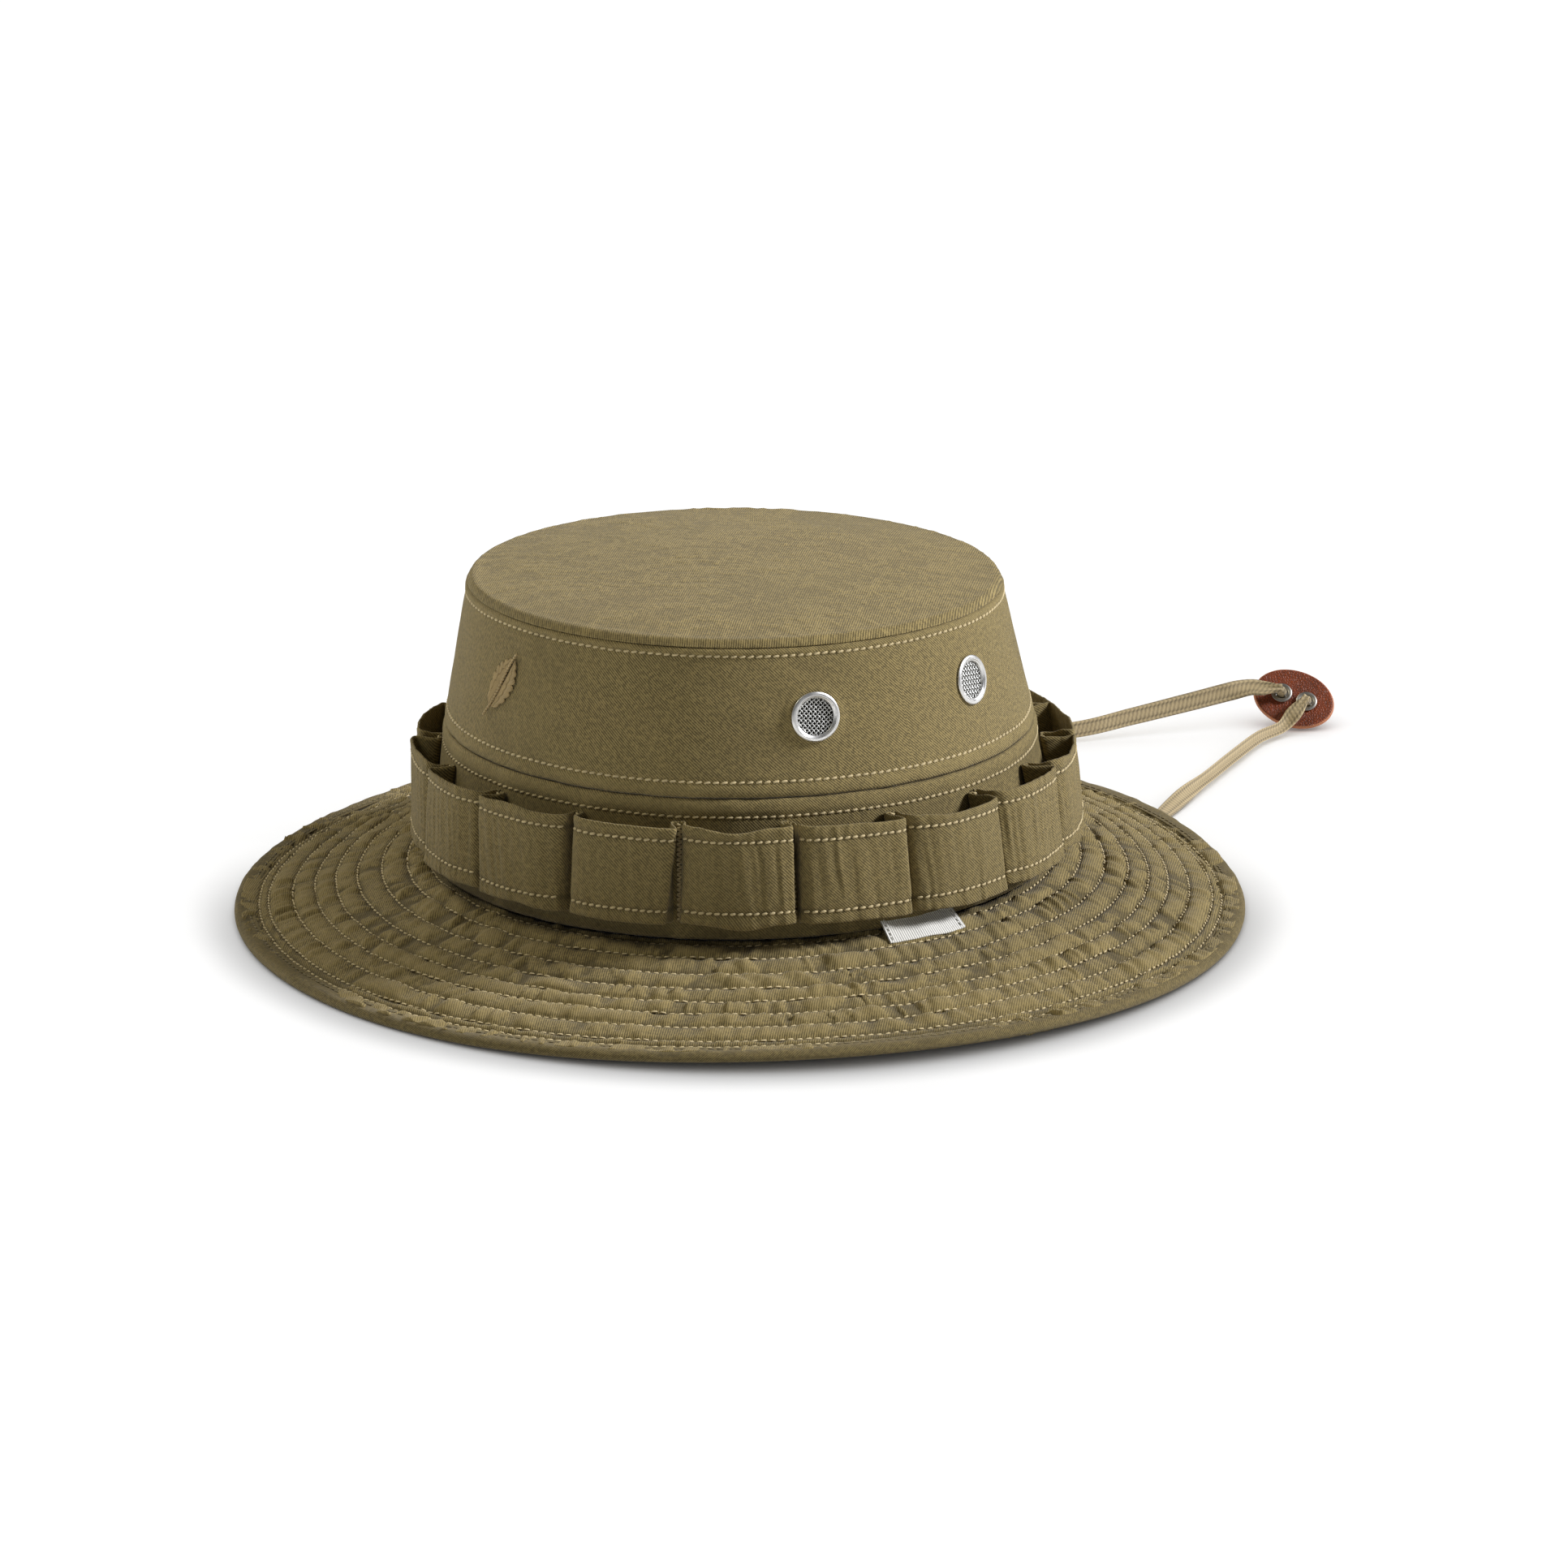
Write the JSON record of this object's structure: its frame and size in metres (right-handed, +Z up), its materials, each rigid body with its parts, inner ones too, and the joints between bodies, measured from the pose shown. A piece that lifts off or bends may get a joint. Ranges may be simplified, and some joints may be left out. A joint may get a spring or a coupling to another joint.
{
  "type": "boonie hat",
  "caption": "Wide-brim cloth field hat with a quilted brim, screened crown vents, a band of foliage loops and a chin cord with a leather slider.",
  "frame": {"origin": "on the surface the brim stands on, below the middle of the brim's outline", "axes": "+Z up, -Y towards the front of the hat, +X towards the wearer's left"},
  "size_m": [0.3082, 0.4255, 0.111],
  "materials": {
    "olive_cloth": "fine cotton ripstop twill, olive khaki",
    "sweatband_cloth": "soft brushed cotton lining, darker olive",
    "interlining": "stiff white nonwoven interlining",
    "binding_tape": "smooth folded edge binding, olive khaki",
    "nickel_plate": "nickel-plated brass",
    "steel_wire": "fine woven wire screen",
    "label_ribbon": "ribbed off-white ribbon, blank",
    "embroidery_thread": "satin-stitched tan thread",
    "cord_braid": "flat tubular braid, light khaki",
    "brown_leather": "grained reddish-brown leather"
  },
  "bodies": {
    "hat": {"top_panel": "olive_cloth", "crown_wall": "olive_cloth", "crown_band": "olive_cloth", "band_seam_tape": "sweatband_cloth", "top_seam_tape": "sweatband_cloth", "sweatband": "sweatband_cloth", "brim_upper_ply": "olive_cloth", "brim_interlining": "interlining", "brim_lower_ply": "olive_cloth", "brim_binding": "binding_tape", "foliage_loop_01": "olive_cloth", "foliage_loop_02": "olive_cloth", "foliage_loop_03": "olive_cloth", "foliage_loop_04": "olive_cloth", "foliage_loop_05": "olive_cloth", "foliage_loop_06": "olive_cloth", "foliage_loop_07": "olive_cloth", "foliage_loop_08": "olive_cloth", "foliage_loop_09": "olive_cloth", "foliage_loop_10": "olive_cloth", "foliage_loop_11": "olive_cloth", "foliage_loop_12": "olive_cloth", "foliage_loop_13": "olive_cloth", "foliage_loop_14": "olive_cloth", "foliage_loop_15": "olive_cloth", "foliage_loop_16": "olive_cloth", "foliage_loop_17": "olive_cloth", "foliage_loop_18": "olive_cloth", "vent_flange_1": "nickel_plate", "vent_screen_1": "steel_wire", "vent_washer_1": "nickel_plate", "vent_flange_2": "nickel_plate", "vent_screen_2": "steel_wire", "vent_washer_2": "nickel_plate", "vent_flange_3": "nickel_plate", "vent_screen_3": "steel_wire", "vent_washer_3": "nickel_plate", "vent_flange_4": "nickel_plate", "vent_screen_4": "steel_wire", "vent_washer_4": "nickel_plate", "woven_label": "label_ribbon", "embroidered_leaf": "embroidery_thread", "cord_anchor_left": "olive_cloth", "cord_anchor_right": "olive_cloth", "cord_strand_left": "cord_braid", "cord_strand_right": "cord_braid", "cord_tail_left": "cord_braid", "cord_tail_right": "cord_braid", "cord_knot_left": "cord_braid", "cord_knot_right": "cord_braid"},
    "slider": {"cord_slider": "brown_leather", "slider_eyelet_left": "nickel_plate", "slider_eyelet_right": "nickel_plate", "slider_washer_left": "nickel_plate", "slider_washer_right": "nickel_plate"}
  },
  "joints": [
    {"name": "slider_slide", "type": "slide", "parent": "hat", "child": "slider", "axis": [0, -1, 0], "range_m": [0, 0.045], "deforming": ["cord_strand_left", "cord_strand_right", "cord_tail_left", "cord_tail_right"]}
  ]
}
